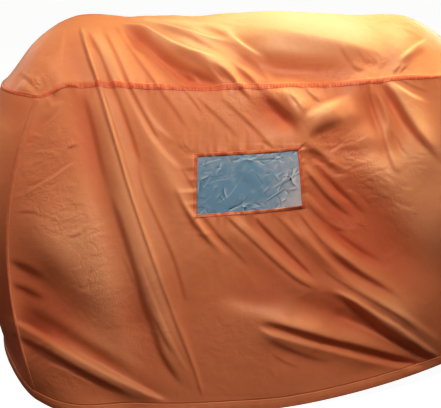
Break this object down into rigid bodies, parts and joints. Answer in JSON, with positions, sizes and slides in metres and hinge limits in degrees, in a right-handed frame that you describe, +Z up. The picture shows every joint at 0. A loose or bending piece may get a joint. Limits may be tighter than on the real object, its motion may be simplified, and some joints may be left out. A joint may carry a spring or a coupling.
{
  "type": "emergency shelter",
  "caption": "Poleless emergency tent of coated nylon with a clear window, vent sleeves, seat flaps and a drawcord hem.",
  "frame": {"origin": "on the ground in the middle of the whole plan", "axes": "+X along the tent to the right as seen from the window side, +Y from the window side to the back, +Z up"},
  "size_m": [1.5916, 1.0447, 0.8966],
  "materials": {
    "shell_nylon": "thin coated ripstop, slight sheen",
    "seam_nylon": "doubled coated nylon, stitched",
    "window_film": "clear flexible film, slightly milky",
    "seat_cloth": "heavy coated pack cloth, matt",
    "drawcord": "round braided cord",
    "lock_plastic": "moulded, satin",
    "spring_steel": "drawn wire"
  },
  "bodies": {
    "shell": {"front_wall": "shell_nylon", "back_wall": "shell_nylon", "left_end_wall": "shell_nylon", "right_end_wall": "shell_nylon", "roof_panel": "shell_nylon", "window_film": "window_film", "window_binding": "seam_nylon", "roof_seam_front": "seam_nylon", "roof_seam_back": "seam_nylon", "roof_seam_left": "seam_nylon", "roof_seam_right": "seam_nylon", "corner_seam_front_left": "seam_nylon", "corner_seam_front_right": "seam_nylon", "corner_seam_back_left": "seam_nylon", "corner_seam_back_right": "seam_nylon", "hem_channel_front": "seam_nylon", "hem_channel_left": "seam_nylon", "hem_channel_right": "seam_nylon", "hem_channel_back_left": "seam_nylon", "hem_channel_back_right": "seam_nylon", "hem_drawcord": "drawcord", "cord_lock_body": "lock_plastic", "cord_lock_spring": "spring_steel", "cord_end_bead_left": "lock_plastic", "cord_end_bead_right": "lock_plastic", "vent_sleeve_left": "seam_nylon", "vent_sleeve_right": "seam_nylon"},
    "seat_left": {"seat_flap_left": "seat_cloth"},
    "seat_right": {"seat_flap_right": "seat_cloth"},
    "lock_button": {"cord_lock_plunger": "lock_plastic"}
  },
  "joints": [
    {"name": "seat_left_fold", "type": "hinge", "parent": "shell", "child": "seat_left", "pos_m": [-0.68386, 0.05545, 0.0012], "axis": [0, -1, 0], "range_deg": [0, 80]},
    {"name": "seat_right_fold", "type": "hinge", "parent": "shell", "child": "seat_right", "pos_m": [0.68386, 0.05545, 0.0012], "axis": [0, 1, 0], "range_deg": [0, 80]},
    {"name": "lock_press", "type": "slide", "parent": "shell", "child": "lock_button", "axis": [-1, 0, 0], "range_m": [0, 0.003], "stiffness_N_per_m": 400, "springref_m": -0.004, "deforming": ["cord_lock_spring"]}
  ]
}
